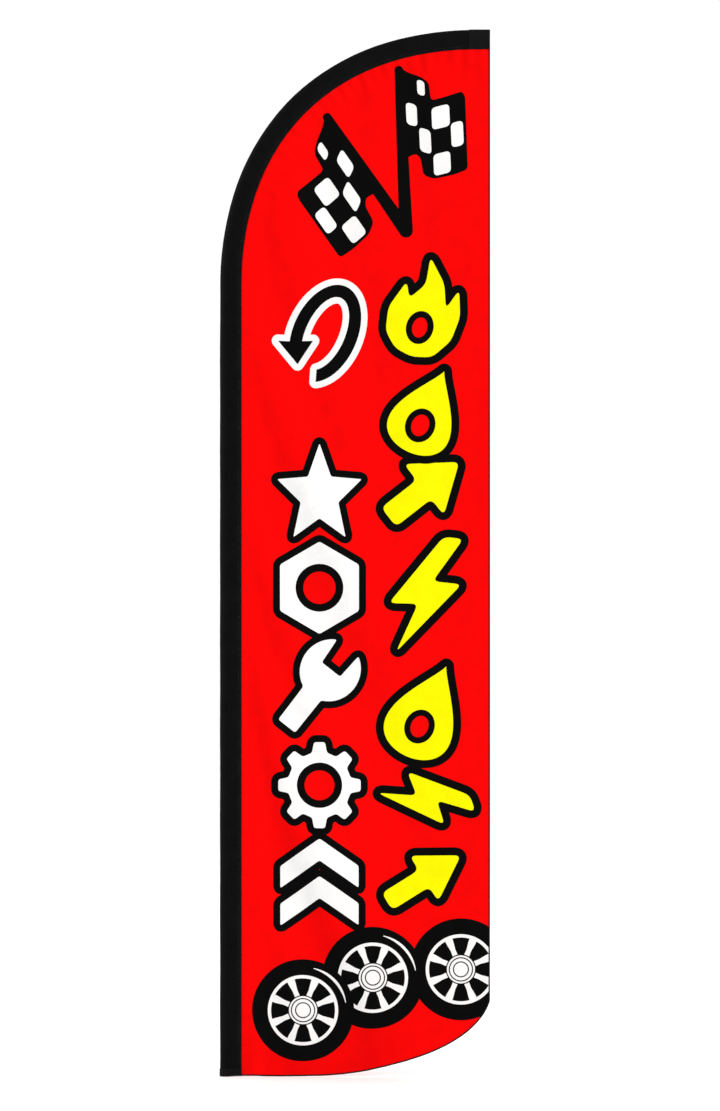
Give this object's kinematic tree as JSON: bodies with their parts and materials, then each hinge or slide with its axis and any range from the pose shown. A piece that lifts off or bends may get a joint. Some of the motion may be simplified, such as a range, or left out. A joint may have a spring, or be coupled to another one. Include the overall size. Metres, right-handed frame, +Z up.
{
  "type": "feather flag",
  "caption": "Tall outdoor banner flag: printed panel with a sewn sleeve over a sectional pole and bowed tip rod, turning on a screw-in ground spindle.",
  "frame": {"origin": "on the pole's axis, at the foot of the spindle, level with the sleeve's mouth", "axes": "+Z up the pole, +X from the pole to the fly edge, -Y out of the printed front"},
  "size_m": [0.9065, 0.0338, 3.5067],
  "materials": {
    "zinc_plated_steel": "bright zinc plate",
    "acetal": "natural moulded",
    "spring_steel": "oil black",
    "nylon": "machined black",
    "nitrile_rubber": "moulded",
    "anodised_aluminium": "clear anodised",
    "moulded_abs": "fine moulded grain",
    "bright_aluminium": "drawn, uncoated",
    "fibreglass": "pultruded",
    "black_acetal": "moulded",
    "oxford_nylon": "plain weave, sewn",
    "webbing": "woven webbing",
    "printed_polyester": "dye printed knit",
    "binding_tape": "folded tape"
  },
  "bodies": {
    "spindle": {"spindle_foot": "zinc_plated_steel", "spindle_shaft": "zinc_plated_steel", "lower_thrust_washer": "acetal", "upper_thrust_washer": "acetal", "retaining_clip": "spring_steel"},
    "rotor": {"rotor_sleeve": "nylon", "rotor_o_ring_low": "nitrile_rubber", "rotor_o_ring_high": "nitrile_rubber"},
    "lower_pole": {"lower_tube": "anodised_aluminium", "lower_collar": "moulded_abs"},
    "middle_pole": {"middle_tube": "anodised_aluminium", "middle_collar": "moulded_abs"},
    "flag": {"rod_ferrule": "bright_aluminium", "tip_rod": "fibreglass", "tip_knob": "black_acetal", "pole_sleeve": "oxford_nylon", "tip_pocket": "webbing", "mouth_webbing": "webbing", "banner_panel": "printed_polyester", "bottom_edge_binding": "binding_tape", "fly_edge_binding": "binding_tape"}
  },
  "joints": [
    {"name": "flag_spin", "type": "hinge", "parent": "spindle", "child": "rotor", "pos_m": [0, 0, 0], "axis": [0, 0, 1], "continuous": true},
    {"name": "pole_lift_off", "type": "slide", "parent": "rotor", "child": "lower_pole", "axis": [0, 0, 1], "range_m": [0, 0.14]},
    {"name": "middle_section_pull", "type": "slide", "parent": "lower_pole", "child": "middle_pole", "axis": [0, 0, 1], "range_m": [0, 0.125]},
    {"name": "tip_section_pull", "type": "slide", "parent": "middle_pole", "child": "flag", "axis": [0, 0, 1], "range_m": [0, 0.11]}
  ]
}
